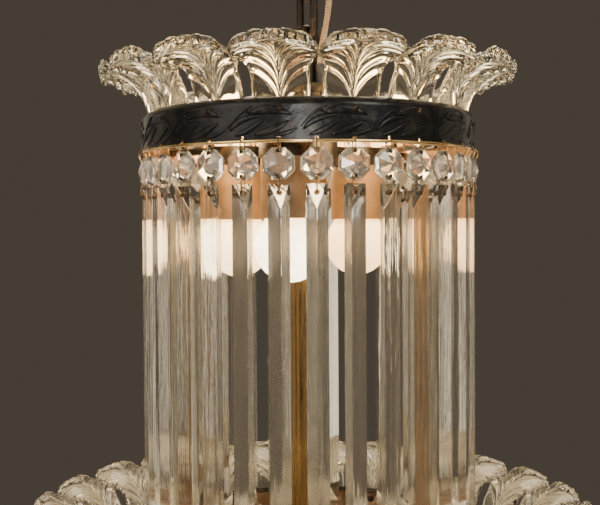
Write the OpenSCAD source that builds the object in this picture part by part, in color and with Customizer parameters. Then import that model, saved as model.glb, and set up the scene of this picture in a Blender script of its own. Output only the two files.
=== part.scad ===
// Two-tier hanging chandelier. Rings of pressed-glass plumes stand in two metal bands, and
// strands of an octagon bead and a long three-sided prism hang from each band's lower edge.
// The origin is the middle of the ceiling face and -Y is the front. Angles are counted from
// the front towards +X.

/* [Ceiling fitting] */
// Radius of the ceiling canopy
canopy_r = 60; // [54:1:72]
// Height of the ceiling canopy
canopy_h = 27; // [25:1:36]
// Distance between the two ceiling screw slots
bar_spacing = 70; // [60:1:80]

/* [Chain and flex] */
// Outside length of a chain link
link_len = 41; // [38:0.5:46]
// Outside width of a chain link
link_w = 20; // [19.5:0.5:23]
// Thickness of the link wire
link_wire = 5.8; // [5:0.1:6]
// Diameter of the supply flex
flex_d = 5.4; // [4.5:0.1:6]

/* [Bands] */
// Outside radius of the upper band
upper_r = 120; // [112:1:130]
// Outside radius of the lower band
lower_r = 176; // [166:1:190]
// Height of both bands
band_h = 28; // [26:1:32]
// Bottom edge of the upper band to the bottom edge of the lower band
tier_gap = 318; // [306:1:330]

/* [Plumes] */
// Width of the plain tab that stands inside the band
tab_w = 37; // [32:1:37]
// Thickness of the glass
plume_t = 4.5; // [4:0.1:5]

/* [Strands] */
// Width of an octagon bead across its flats
bead_w = 20; // [18.5:0.5:20]
// Width of one face of a prism
prism_face = 14; // [12:0.5:15]
// Length of an upper prism
upper_prism = 262; // [220:1:266]
// Length of a lower prism
lower_prism = 150; // [100:1:180]

/* [Lamps] */
// Outside radius of a socket sleeve
sleeve_r = 20; // [18.5:0.5:21]
// Radius of a lamp bulb's round end
bulb_r = 24.5; // [22:0.5:26]

/* [Hidden] */
$fn = 48;
gap = 0.3;

UPPER_PLUMES = 16;
LOWER_PLUMES = 24;
UPPER_STRANDS = 32;
LOWER_STRANDS = 48;
UPPER_PLUME_TURN = -8.4;
LOWER_PLUME_TURN = -4.3;
UPPER_STRAND_TURN = 2.6;
LOWER_STRAND_TURN = 1.5;
UPPER_LAMPS = [-12, 140, 244];
LOWER_LAMPS = [18, 78, 138, 198, 258, 318];
UPPER_LAMP_R = 59;
LOWER_LAMP_R = 108;

// the chain: each link's plane is turned a quarter turn from its neighbours'
wire_r = link_wire / 2;
link_pitch = link_len - 2 * link_wire - gap;
loop_r = 9;
collar_r = 7;
collar_h = 11;
canopy_loop_z = -canopy_h - collar_h - loop_r + 1;
first_link_z = canopy_loop_z - loop_r + link_wire + gap + wire_r - link_len / 2;
second_link_z = first_link_z - link_pitch;
third_link_z = second_link_z - link_pitch;
top_loop_z = third_link_z - link_len / 2 + link_wire + gap + wire_r - loop_r;

// heights of the two tiers, measured at each band's bottom edge
upper_z = top_loop_z - 83;
lower_z = upper_z - tier_gap;

// band, lip and spider
band_t = 1.2;
shoulder_r = 5.5;
lip_h = 1.4;
lip_chamfer = 0.4;
lip_proud = 1.3;
arm_w = 8;
arm_t = 4;
arm_z = 3.6;
seat_r = 21;
seat_depth = 13.4;
hub_r = 22;

// plume: a plain tab, then a wall that curls outwards over the band's top
tab_gap = 0.3;
tab_z = 8.5;
curl_r = 34;
curl_turn = 95;
curl_z = band_h - 4;
plume_lip = 4.5;
screw_z = 0.71 * band_h;
screw_r = 1.3;
head_r = 2.6;

// strand: hook ring, octagon bead, clip ring and prism
hang_z = 2.3;
hook_hole_r = 1.2;
bead_z = -13.8;
bead_hole = bead_w / 2 - 1.9;
bead_hole_r = 1.2;
bead_table = 4.5;
bead_edge = 1.2;
bead_half = 4.2;
prism_top = bead_z - bead_w / 2 - 2.4;
prism_depth = prism_face * sqrt(3) / 2;
prism_land = 1.4;
facet_h = 15.5;
pin_drop = 5.3;
pin_z = prism_top - pin_drop;
prism_hole_r = 1.7;
ring_wire = 0.4;
hook_r = (hang_z - bead_z - bead_hole) / 2 + 0.15;
clip_r = (bead_z - bead_hole - pin_z) / 2 + 0.15;
bead_in = 1;
clip_in = 1.5;
hook_in = 0.8;
face_out = 0.4;

// lamps
sleeve_top = -6;
sleeve_len = 41;
sleeve_t = 1;
socket_r = 17;
socket_top = sleeve_top - sleeve_t - 0.1;
socket_len = 30;
nipple_r = 5;
cap_r = 13;
bulb_z = -66;

// stem
pipe_r = 5;
pipe_bore = 3.5;
stem_r = 13.75;
hub_top = 10;
hub_bottom = -8;

// the flex: from inside the canopy, down beside the chain and into its bushing
FLEX = [
  [13, -6, -12], [13, -6, -18], [13, -6, -24], [13, -6, -31],
  [13.5, -6, -40], [14.5, -6, -50], [16, -6, -62], [17, -6, -76],
  [17.5, -6, -90], [17, -6, -104], [16, -6, -117], [14.5, -6, -129],
  [12.5, -6, -140], [11, -6, -149], [10, -6, -157], [9.5, -6, -164],
  [9.5, -6, -170], [9.5, -6, -176]
];
FLEX_SIDES = 8;
bushing = [9.5, -6];
bushing_r = 3.4;

PRISMS = [for (i = [1 : UPPER_STRANDS]) str("prism_", i < 10 ? "0" : "", i)];

// places children at a radius and an angle, facing outwards along -Y
module at(angle, radius, z = 0) {
  rotate([0, 0, angle])
    translate([0, -radius, z])
      children();
}

// a round rod along Y, from the middle outwards by length
module radial_rod(radius, length) {
  rotate([90, 0, 0])
    cylinder(r = radius, h = length);
}

// a ring of wire in the vertical plane through the axis of the object
module wire_ring(ring_radius) {
  rotate([0, 90, 0])
    rotate_extrude($fn = 32)
      translate([ring_radius, 0])
        circle(ring_wire, $fn = 16);
}

// one chain link standing on end in the XZ plane
module chain_link() {
  bend = (link_w - link_wire) / 2;
  straight = link_len - link_w;
  for (side = [-1, 1]) {
    translate([side * bend, 0, -straight / 2])
      cylinder(r = wire_r, h = straight);
    translate([0, 0, side * straight / 2])
      rotate([90, 0, 0])
        rotate([0, 0, side > 0 ? 0 : 180])
          rotate_extrude(angle = 180)
            translate([bend, 0])
              circle(wire_r);
  }
}

// a closed eye of the chain's wire in the XZ plane
module eye() {
  rotate([90, 0, 0])
    rotate_extrude()
      translate([loop_r, 0])
        circle(wire_r);
}

// spun dish against the ceiling, open at the top
module ceiling_canopy() {
  color("#2b2622")
    difference() {
      rotate_extrude($fn = 96)
        canopy_outline(0);
      rotate_extrude($fn = 96)
        canopy_outline(1.2);
      translate([0, 0, -canopy_h - 1])
        cylinder(r = pipe_r + 0.3, h = 10);
      translate([13, -6, -canopy_h - 1])
        cylinder(r = flex_d / 2 + 2.4, h = 10);
    }
}

// half of the canopy's side view, shrunk by the wall
module canopy_outline(wall) {
  round_r = 16;
  intersection() {
    union() {
      translate([0, -canopy_h + round_r])
        square([canopy_r - wall, canopy_h - round_r + wall]);
      translate([0, -canopy_h + wall])
        square([canopy_r - round_r, canopy_h]);
      translate([canopy_r - round_r, -canopy_h + round_r])
        circle(round_r - wall);
    }
    translate([0, -canopy_h])
      square([canopy_r, canopy_h + wall]);
  }
}

// flat bar screwed to the ceiling that the canopy loop's shank is threaded into
module mounting_bar() {
  bar_l = bar_spacing + 24;
  color("silver")
    difference() {
      translate([-bar_l / 2, -9, -3])
        cube([bar_l, 18, 3]);
      for (side = [-1, 1])
        translate([side * bar_spacing / 2, 0, -4])
          cylinder(r = 2.25, h = 5);
      translate([0, 0, -4])
        cylinder(r = pipe_r + 0.05, h = 5);
    }
}

// eye, collar and shank under the canopy
module canopy_loop() {
  color("#2b2622") {
    translate([0, 0, canopy_loop_z])
      rotate([0, 0, 45])
        eye();
    translate([0, 0, -canopy_h - collar_h])
      cylinder(r = collar_r, h = collar_h);
    translate([0, 0, -canopy_h - 1])
      cylinder(r = pipe_r, h = canopy_h);
  }
}

module chain_link_1() {
  color("#2b2622")
    translate([0, 0, first_link_z])
      rotate([0, 0, -45])
        chain_link();
}

module chain_links() {
  color("#2b2622") {
    translate([0, 0, second_link_z])
      rotate([0, 0, 45])
        chain_link();
    translate([0, 0, third_link_z])
      rotate([0, 0, -45])
        chain_link();
  }
}

// direction of the flex at one of its points
function along(i) =
  let (a = FLEX[max(i - 1, 0)], b = FLEX[min(i + 1, len(FLEX) - 1)])
  (b - a) / norm(b - a);

// one ring of points round the flex, square to its direction
function flex_ring(i) =
  let (d = along(i), u = cross([0, 1, 0], d) / norm(cross([0, 1, 0], d)), v = cross(d, u))
  [for (k = [0 : FLEX_SIDES - 1])
    let (t = 360 * k / FLEX_SIDES)
    FLEX[i] + flex_d / 2 * (cos(t) * u + sin(t) * v)];

// twin flex that hangs beside the chain
module supply_cord() {
  rings = len(FLEX);
  points = [for (i = [0 : rings - 1]) each flex_ring(i)];
  sides = [
    for (i = [0 : rings - 2], k = [0 : FLEX_SIDES - 1])
      let (a = i * FLEX_SIDES, n = (k + 1) % FLEX_SIDES)
      [a + k, a + n, a + FLEX_SIDES + n, a + FLEX_SIDES + k]
  ];
  first = [for (k = [FLEX_SIDES - 1 : -1 : 0]) k];
  last = [for (k = [0 : FLEX_SIDES - 1]) (rings - 1) * FLEX_SIDES + k];
  color("#8a7350")
    polyhedron(points, concat(sides, [first, last]));
}

// moulded sleeve that takes the flex into the cap
module cord_bushing() {
  color("#1a1a1a")
    difference() {
      translate([bushing[0], bushing[1], upper_z + 51])
        cylinder(r = bushing_r, h = 14);
      translate([bushing[0], bushing[1], upper_z + 50])
        cylinder(r = flex_d / 2 + 0.1, h = 20);
    }
}

// eye and collar screwed to the top of the lamp pipe
module top_loop() {
  color("#2b2622")
    difference() {
      union() {
        translate([0, 0, top_loop_z])
          rotate([0, 0, 45])
            eye();
        translate([0, 0, upper_z + 51])
          cylinder(r = collar_r, h = 23);
      }
      translate([0, 0, upper_z + 50])
        cylinder(r = pipe_r + 0.05, h = 18);
    }
}

// turned cap on the lamp pipe, drilled for the flex
module pipe_cap() {
  color("#2b2622")
    difference() {
      translate([0, 0, upper_z + 40])
        union() {
          translate([0, 0, 5])
            cylinder(r = 16, h = 6);
          cylinder(r = 11, h = 5);
        }
      translate([0, 0, upper_z + 39])
        cylinder(r = pipe_r + 0.05, h = 14);
      translate([bushing[0], bushing[1], upper_z + 39])
        cylinder(r = flex_d / 2, h = 14);
    }
}

// threaded pipe through both tiers, which carries everything and the wires
module lamp_pipe() {
  color("silver")
    translate([0, 0, lower_z - 40])
      difference() {
        cylinder(r = pipe_r, h = tier_gap + 40 + 66);
        translate([0, 0, -1])
          cylinder(r = pipe_bore, h = tier_gap + 120);
      }
}

// hub, arms and lamp seats that hold a band on the lamp pipe
module spider(radius, lamps, lamp_r) {
  difference() {
    union() {
      translate([0, 0, hub_bottom])
        cylinder(r = hub_r, h = hub_top - hub_bottom);
      intersection() {
        for (a = lamps)
          at(a, radius, arm_z)
            translate([-arm_w / 2, 0, 0])
              cube([arm_w, radius - 5, arm_t]);
        cylinder(r = radius - band_t - 0.05, h = 20, $fn = 96);
      }
      for (a = lamps)
        at(a, lamp_r, arm_z + arm_t - seat_depth)
          cylinder(r = seat_r, h = seat_depth);
    }
    translate([0, 0, -20])
      cylinder(r = pipe_r + 0.05, h = 40);
    for (a = lamps)
      at(a, lamp_r, -20)
        cylinder(r = nipple_r + 0.3, h = 40);
  }
}

module upper_spider() {
  color("#2b2622")
    translate([0, 0, upper_z])
      spider(upper_r, UPPER_LAMPS, UPPER_LAMP_R);
}

module lower_spider() {
  color("#2b2622")
    translate([0, 0, lower_z])
      spider(lower_r, LOWER_LAMPS, LOWER_LAMP_R);
}

// half of a band's section, shrunk by the wall
module band_outline(radius, wall) {
  top = band_h - wall;
  out = radius - wall;
  round_r = shoulder_r - wall;
  union() {
    square([out, top - round_r]);
    square([out - round_r, top]);
    translate([out - round_r, top - round_r])
      circle(round_r);
  }
}

// stamped band: a straight wall with a rounded shoulder, drilled for screws and hooks
module band(radius, plume_count, plume_turn, strand_count, strand_turn) {
  difference() {
    rotate_extrude($fn = 120)
      difference() {
        band_outline(radius, 0);
        band_outline(radius, band_t);
        translate([0, -1])
          square([radius - shoulder_r, band_h + 2]);
      }
    for (i = [0 : plume_count - 1])
      at(plume_turn + 360 * i / plume_count, radius - 10, screw_z)
        radial_rod(screw_r + 0.2, 20);
    for (i = [0 : strand_count - 1])
      at(strand_turn + 360 * i / strand_count, radius - 10, hang_z)
        radial_rod(hook_hole_r, 20);
  }
}

module upper_band() {
  color("#1d1a18")
    translate([0, 0, upper_z])
      band(upper_r, UPPER_PLUMES, UPPER_PLUME_TURN, UPPER_STRANDS, UPPER_STRAND_TURN);
}

module lower_band() {
  color("#1d1a18")
    translate([0, 0, lower_z])
      band(lower_r, LOWER_PLUMES, LOWER_PLUME_TURN, LOWER_STRANDS, LOWER_STRAND_TURN);
}

// polished moulding along a band's lower edge, just under the hook holes
module lip(radius) {
  seat = radius + 0.05;
  face = seat + lip_proud;
  rotate_extrude($fn = 120)
    polygon([
      [seat, 0], [face - lip_chamfer, 0], [face, lip_chamfer],
      [face, lip_h - lip_chamfer], [face - lip_chamfer, lip_h], [seat, lip_h]
    ]);
}

module upper_lip() {
  color("#d9b45a")
    translate([0, 0, upper_z])
      lip(upper_r);
}

module lower_lip() {
  color("#d9b45a")
    translate([0, 0, lower_z])
      lip(lower_r);
}

// side view of a plume: tab, curl and thick lip, with the tab's outer face at tab_r
module plume_side(tab_r) {
  centre = tab_r + curl_r;
  reach = 2 * curl_r;
  end = 180 - curl_turn;
  middle = curl_r + plume_t / 2;
  translate([tab_r - plume_t, tab_z])
    square([plume_t, curl_z - tab_z]);
  translate([centre, curl_z]) {
    intersection() {
      difference() {
        circle(curl_r + plume_t);
        circle(curl_r);
      }
      polygon([[0, 0], [-reach, 0], [-reach, reach], [reach * cos(end), reach * sin(end)]]);
    }
    translate([middle * cos(end), middle * sin(end)])
      circle(plume_lip, $fn = 32);
  }
}

// one plume, facing the front
module plume(band_r) {
  tab_r = band_r - shoulder_r - tab_gap;
  half_turn = asin(tab_w / 2 / (tab_r - plume_t / 2));
  difference() {
    rotate([0, 0, -90 - half_turn])
      rotate_extrude(angle = 2 * half_turn, $fn = 96)
        plume_side(tab_r);
    translate([0, -tab_r + 10, screw_z])
      radial_rod(screw_r + 0.3, 20);
  }
}

// every plume of both tiers
module plumes() {
  color("#efe6cf", 0.5) {
    for (i = [0 : UPPER_PLUMES - 1])
      at(UPPER_PLUME_TURN + 360 * i / UPPER_PLUMES, 0, upper_z)
        plume(upper_r);
    for (i = [0 : LOWER_PLUMES - 1])
      at(LOWER_PLUME_TURN + 360 * i / LOWER_PLUMES, 0, lower_z)
        plume(lower_r);
  }
}

// round-headed screw through a band and a plume's tab, with its nut
module plume_screw(band_r) {
  tab_back = band_r - shoulder_r - tab_gap - plume_t;
  translate([0, -band_r - 0.05, screw_z]) {
    radial_rod(head_r, 1.3);
    translate([0, band_r - tab_back + 2, 0])
      radial_rod(screw_r, band_r - tab_back + 2.5);
    translate([0, band_r - tab_back + 2, 0])
      rotate([90, 0, 0])
        cylinder(r = 3, h = 1.9, $fn = 6);
  }
}

module plume_screws() {
  color("#8f7a4a") {
    for (i = [0 : UPPER_PLUMES - 1])
      at(UPPER_PLUME_TURN + 360 * i / UPPER_PLUMES, 0, upper_z)
        plume_screw(upper_r);
    for (i = [0 : LOWER_PLUMES - 1])
      at(LOWER_PLUME_TURN + 360 * i / LOWER_PLUMES, 0, lower_z)
        plume_screw(lower_r);
  }
}

// repeats children for every strand of both tiers, inwards of the band's face by inset
module on_strands(inset, z) {
  for (i = [0 : UPPER_STRANDS - 1])
    at(UPPER_STRAND_TURN + 360 * i / UPPER_STRANDS, upper_r - inset, upper_z + z)
      children();
  for (i = [0 : LOWER_STRANDS - 1])
    at(LOWER_STRAND_TURN + 360 * i / LOWER_STRANDS, lower_r - inset, lower_z + z)
      children();
}

// wire rings between a band's holes and the beads
module bead_hooks() {
  color("#7a6535")
    on_strands(hook_in, (hang_z + bead_z + bead_hole) / 2)
      wire_ring(hook_r);
}

// cut bead with eight sides, a table on each face and two holes
module octagon_bead() {
  side = bead_w / 2;
  difference() {
    intersection_for(k = [0 : 3])
      rotate([0, 45 * k, 0])
        linear_extrude(1.2 * bead_w, center = true)
          polygon([
            [side, -bead_edge], [side, bead_edge], [bead_table, bead_half],
            [-bead_table, bead_half], [-side, bead_edge], [-side, -bead_edge],
            [-bead_table, -bead_half], [bead_table, -bead_half]
          ]);
    for (end = [-1, 1])
      translate([0, bead_half + 1, end * bead_hole])
        radial_rod(bead_hole_r, 2 * bead_half + 2);
  }
}

module octagon_beads() {
  color("#f2ead8", 0.5)
    on_strands(bead_in, bead_z)
      octagon_bead();
}

// wire rings between the beads and the prisms
module prism_clips() {
  color("#7a6535")
    on_strands(clip_in, (bead_z - bead_hole + pin_z) / 2)
      wire_ring(clip_r);
}

// the slanting cut that ends a prism, from its flat face's edge down to its ridge
module prism_facet() {
  past = 2;
  slope = facet_h / (prism_depth - prism_land);
  far = prism_depth + past;
  rotate([90, 0, 90])
    linear_extrude(2 * prism_face, center = true)
      polygon([
        [prism_land, 0], [far, -slope * (far - prism_land)], [far, past], [prism_land, past]
      ]);
}

// three-sided glass bar with its flat face outwards, hung by a hole through its cut top
module prism(length) {
  difference() {
    translate([0, 0, -length])
      linear_extrude(length)
        polygon([[-prism_face / 2, 0], [prism_face / 2, 0], [0, prism_depth]]);
    prism_facet();
    translate([0, 0, -length])
      mirror([0, 0, 1])
        prism_facet();
    translate([0, prism_depth, -pin_drop])
      radial_rod(prism_hole_r, prism_depth + 2);
  }
}

module upper_prism_at(i) {
  color("#f2ead8", 0.5)
    at(UPPER_STRAND_TURN + 360 * i / UPPER_STRANDS, upper_r + face_out, upper_z + prism_top)
      prism(upper_prism);
}

module lower_prisms() {
  color("#f2ead8", 0.5)
    for (i = [0 : LOWER_STRANDS - 1])
      at(LOWER_STRAND_TURN + 360 * i / LOWER_STRANDS, lower_r + face_out, lower_z + prism_top)
        prism(lower_prism);
}

// repeats children at every lamp of both tiers
module on_lamps() {
  for (a = UPPER_LAMPS)
    at(a, UPPER_LAMP_R, upper_z)
      children();
  for (a = LOWER_LAMPS)
    at(a, LOWER_LAMP_R, lower_z)
      children();
}

// lamp socket hung upside down by a threaded nipple and its nut
module lamp_socket() {
  seat_top = arm_z + arm_t;
  difference() {
    union() {
      translate([0, 0, socket_top - socket_len])
        cylinder(r = socket_r, h = socket_len);
      translate([0, 0, socket_top - 1])
        cylinder(r = nipple_r, h = seat_top - socket_top + 6);
      translate([0, 0, seat_top + 0.1])
        cylinder(r = 8, h = 3, $fn = 6);
    }
    translate([0, 0, socket_top - socket_len - 1])
      cylinder(r = cap_r + 0.6, h = socket_len - 7);
  }
}

module lamp_sockets() {
  color("#e8e2d4")
    on_lamps()
      lamp_socket();
}

// tube that hides a socket, closed at the top round its nipple
module socket_sleeve() {
  difference() {
    translate([0, 0, sleeve_top - sleeve_len])
      cylinder(r = sleeve_r, h = sleeve_len);
    translate([0, 0, sleeve_top - sleeve_len - 1])
      cylinder(r = sleeve_r - sleeve_t, h = sleeve_len + 1 - sleeve_t);
    translate([0, 0, sleeve_top - 5])
      cylinder(r = nipple_r + 0.3, h = 10);
  }
}

module socket_sleeves() {
  color("#c58a2c")
    on_lamps()
      socket_sleeve();
}

// bulb with its cap up in the socket
module lamp_bulb() {
  translate([0, 0, bulb_z])
    sphere(bulb_r);
  translate([0, 0, bulb_z + 10])
    cylinder(r = cap_r, h = -bulb_z - 10 + socket_top - 10);
}

module lamp_bulbs() {
  color("#fff3d0")
    on_lamps()
      lamp_bulb();
}

// brass tube over the lamp pipe between the two hubs
module stem_tube() {
  color("#b08a3e")
    translate([0, 0, lower_z + hub_top])
      difference() {
        cylinder(r = stem_r, h = tier_gap - hub_top + hub_bottom);
        translate([0, 0, -1])
          cylinder(r = stem_r - 1, h = tier_gap + 2);
      }
}

// turned cap under the lower hub
module bottom_cap() {
  depth = 28;
  color("#b08a3e")
    translate([0, 0, lower_z + hub_bottom - depth])
      difference() {
        rotate_extrude()
          difference() {
            square([26, depth]);
            translate([28, 0])
              circle(18);
          }
        translate([0, 0, -1])
          cylinder(r = pipe_r + 0.05, h = depth + 2);
      }
}

// crystal ball on the end of the lamp pipe
module finial() {
  ball_r = 22;
  top = lower_z + hub_bottom - 28 - 0.1;
  color("#f2ead8", 0.5)
    difference() {
      union() {
        translate([0, 0, top - ball_r])
          sphere(ball_r);
        translate([0, 0, top - 6])
          cylinder(r = 8.5, h = 6);
      }
      translate([0, 0, top - 6])
        cylinder(r = pipe_r + 0.05, h = 10);
    }
}

ceiling_canopy();
mounting_bar();
canopy_loop();
chain_link_1();
chain_links();
supply_cord();
cord_bushing();
top_loop();
pipe_cap();
lamp_pipe();
upper_spider();
upper_band();
upper_lip();
plumes();
plume_screws();
bead_hooks();
octagon_beads();
prism_clips();
lamp_sockets();
socket_sleeves();
lamp_bulbs();
stem_tube();
lower_spider();
lower_band();
lower_lip();
lower_prisms();
bottom_cap();
finial();
for (i = [0 : UPPER_STRANDS - 1])
  upper_prism_at(i);
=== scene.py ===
import math
import random

import bmesh
import bpy
from mathutils import Matrix, Vector


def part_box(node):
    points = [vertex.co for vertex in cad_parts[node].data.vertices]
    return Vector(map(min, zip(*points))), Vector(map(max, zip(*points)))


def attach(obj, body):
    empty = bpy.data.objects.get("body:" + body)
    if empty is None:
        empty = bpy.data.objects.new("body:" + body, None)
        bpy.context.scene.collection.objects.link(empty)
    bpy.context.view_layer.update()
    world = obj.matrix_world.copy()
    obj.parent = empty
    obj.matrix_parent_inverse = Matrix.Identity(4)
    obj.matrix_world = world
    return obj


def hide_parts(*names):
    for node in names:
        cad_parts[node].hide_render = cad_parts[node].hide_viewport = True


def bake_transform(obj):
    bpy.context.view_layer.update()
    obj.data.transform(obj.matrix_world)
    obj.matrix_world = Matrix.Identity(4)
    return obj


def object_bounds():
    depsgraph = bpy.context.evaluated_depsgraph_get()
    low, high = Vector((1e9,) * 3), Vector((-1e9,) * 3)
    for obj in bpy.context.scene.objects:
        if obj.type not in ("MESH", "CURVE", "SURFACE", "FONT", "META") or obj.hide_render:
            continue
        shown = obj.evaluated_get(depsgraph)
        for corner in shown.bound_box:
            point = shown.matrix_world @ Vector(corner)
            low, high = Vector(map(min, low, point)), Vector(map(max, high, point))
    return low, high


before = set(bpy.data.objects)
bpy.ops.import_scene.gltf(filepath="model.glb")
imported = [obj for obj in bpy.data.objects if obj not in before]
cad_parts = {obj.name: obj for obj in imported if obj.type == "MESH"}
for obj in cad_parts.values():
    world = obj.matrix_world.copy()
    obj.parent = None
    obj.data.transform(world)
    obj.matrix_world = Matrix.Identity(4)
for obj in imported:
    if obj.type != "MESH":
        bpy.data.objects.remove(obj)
cad_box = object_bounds()
MM = 0.001


# ---------------------------------------------------------------------------
# Camera. It stands 0.72 m in front of the chain's line, a hand's breadth under
# the upper band, and looks a little downwards so that the lower plumes show.
# ---------------------------------------------------------------------------
CAMERA_BACK = 0.720
CAMERA_UNDER = 52.8 * MM
CAMERA_YAW, CAMERA_DOWN, CAMERA_ROLL = 0.5, 1.50, -0.37

upper_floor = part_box("upper_lip")[0][2]
lower_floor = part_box("lower_lip")[0][2]
upper_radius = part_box("upper_band")[1][0]
lower_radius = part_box("lower_band")[1][0]

camera_data = bpy.data.cameras.new("camera")
camera_data.sensor_width = 36
camera_data.lens = 58.68
camera_data.clip_start = 0.01
camera = bpy.data.objects.new("camera", camera_data)
bpy.context.scene.collection.objects.link(camera)
bpy.context.scene.camera = camera
camera.matrix_world = (
    Matrix.Translation((0, -CAMERA_BACK, upper_floor - CAMERA_UNDER))
    @ Matrix.Rotation(math.radians(CAMERA_YAW), 4, "Z")
    @ Matrix.Rotation(math.radians(90 - CAMERA_DOWN), 4, "X")
    @ Matrix.Rotation(math.radians(CAMERA_ROLL), 4, "Z")
)


# ---------------------------------------------------------------------------
# Flex. A clear-jacketed twin flex, two stranded copper cores moulded side by
# side and lightly twisted. It hangs from the ceiling joint box beside the
# chain and goes into the bushing in the pipe cap, with no free end.
# ---------------------------------------------------------------------------
FLEX_ROUTE = [
    (13, -6, -12), (13, -6, -18), (13, -6, -24), (13, -6, -31), (13.5, -6, -40),
    (14.5, -6, -50), (16, -6, -62), (17, -6, -76), (17.5, -6, -90), (17, -6, -104),
    (16, -6, -117), (14.5, -6, -129), (12.5, -6, -140), (11, -6, -149),
    (10, -6, -157), (9.5, -6, -164), (9.5, -6, -170), (9.5, -6, -176),
]
FLEX_WIDTH = 5.2 * MM
FLEX_SECTION = 20
FLEX_STEPS = 4
HALF_TWIST = 60 * MM
# places in the route: where the bending starts, where the two lengths meet, and where it ends
FLEX_BEND, FLEX_MEET, FLEX_STILL = 2, 6, 14


def new_finish(name):
    """A material with nothing in it but a Principled surface."""
    material = bpy.data.materials.new(name)
    material.use_nodes = True
    tree = material.node_tree
    tree.nodes.clear()
    surface = tree.nodes.new("ShaderNodeBsdfPrincipled")
    tree.links.new(surface.outputs[0], tree.nodes.new("ShaderNodeOutputMaterial").inputs[0])
    return material, tree, surface


def add(tree, kind, inputs=None, **settings):
    """A node with its settings, its plain values and the sockets that feed it."""
    node = tree.nodes.new(kind)
    for key, value in settings.items():
        setattr(node, key, value)
    for key, value in (inputs or {}).items():
        if isinstance(value, bpy.types.NodeSocket):
            tree.links.new(value, node.inputs[key])
        else:
            node.inputs[key].default_value = value
    return node


def new_group(name, inputs, outputs):
    """An empty shader node group with its ins and outs."""
    tree = bpy.data.node_groups.new(name, "ShaderNodeTree")
    for title, kind, value in inputs:
        socket = tree.interface.new_socket(title, in_out="INPUT", socket_type=kind)
        if value is not None:
            socket.default_value = value
    for title, kind in outputs:
        tree.interface.new_socket(title, in_out="OUTPUT", socket_type=kind)
    start = tree.nodes.new("NodeGroupInput")
    end = tree.nodes.new("NodeGroupOutput")
    return tree, start, end


def use_group(tree, group, inputs):
    """One use of a group, with its own values."""
    node = tree.nodes.new("ShaderNodeGroup")
    node.node_tree = group
    for key, value in inputs.items():
        if isinstance(value, bpy.types.NodeSocket):
            tree.links.new(value, node.inputs[key])
        else:
            node.inputs[key].default_value = value
    return node


def shade_mix(tree, mask, low, high):
    """A colour that goes from low to high as the mask goes from 0 to 1."""
    node = add(tree, "ShaderNodeMix", data_type="RGBA")
    tree.links.new(mask, node.inputs[0])
    node.inputs[6].default_value = (*low, 1)
    node.inputs[7].default_value = (*high, 1)
    return node.outputs[2]


def value_range(tree, value, low, high):
    """A number from low to high as the value goes from 0 to 1."""
    node = add(tree, "ShaderNodeMapRange", {"Value": value, "To Min": low, "To Max": high})
    return node.outputs[0]


# uneven cover of tarnish, handling or haze
patches, start, end = new_group(
    "patches",
    [("Vector", "NodeSocketVector", None), ("Scale", "NodeSocketFloat", 80.0),
     ("Low", "NodeSocketFloat", 0.4), ("High", "NodeSocketFloat", 0.6)],
    [("Mask", "NodeSocketFloat")])
cloud = add(patches, "ShaderNodeTexNoise", {
    "Vector": start.outputs["Vector"], "Scale": start.outputs["Scale"], "Detail": 6.0, "Roughness": 0.62})
spread = add(patches, "ShaderNodeMapRange", {
    "Value": cloud.outputs["Fac"], "From Min": start.outputs["Low"], "From Max": start.outputs["High"]})
patches.links.new(spread.outputs[0], end.inputs["Mask"])

# the small unevenness of a cast, spun, moulded or pressed surface
uneven, start, end = new_group(
    "uneven_surface",
    [("Vector", "NodeSocketVector", None), ("Fine Scale", "NodeSocketFloat", 1500.0),
     ("Fine Depth", "NodeSocketFloat", 0.1), ("Broad Scale", "NodeSocketFloat", 150.0),
     ("Broad Depth", "NodeSocketFloat", 0.3)],
    [("Height", "NodeSocketFloat")])
fine = add(uneven, "ShaderNodeTexNoise", {
    "Vector": start.outputs["Vector"], "Scale": start.outputs["Fine Scale"], "Detail": 3.0})
broad = add(uneven, "ShaderNodeTexNoise", {
    "Vector": start.outputs["Vector"], "Scale": start.outputs["Broad Scale"], "Detail": 2.0})
fine_part = add(uneven, "ShaderNodeMath", {
    0: fine.outputs["Fac"], 1: start.outputs["Fine Depth"]}, operation="MULTIPLY")
both_parts = add(uneven, "ShaderNodeMath", {
    0: broad.outputs["Fac"], 1: start.outputs["Broad Depth"],
    2: fine_part.outputs[0]}, operation="MULTIPLY_ADD")
uneven.links.new(both_parts.outputs[0], end.inputs["Height"])


def bumped(tree, surface, height, depth):
    """Sends a height in millimetres times depth to the surface's normal."""
    bump = add(tree, "ShaderNodeBump", {"Height": height, "Distance": depth * MM, "Strength": 1.0})
    tree.links.new(bump.outputs[0], surface.inputs["Normal"])


def place_of(tree):
    """Object coordinates."""
    return add(tree, "ShaderNodeTexCoord").outputs["Object"]


def finished(name, shape, finish, body="fixture", smooth=True, replaces=()):
    """Closes a bmesh into a piece on its body."""
    mesh = bpy.data.meshes.new(name)
    shape.to_mesh(mesh)
    shape.free()
    mesh.materials.append(finish)
    for face in mesh.polygons:
        face.use_smooth = smooth
    piece = bpy.data.objects.new(name, mesh)
    bpy.context.scene.collection.objects.link(piece)
    if body:
        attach(piece, body)
    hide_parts(*replaces)
    return piece


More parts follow.
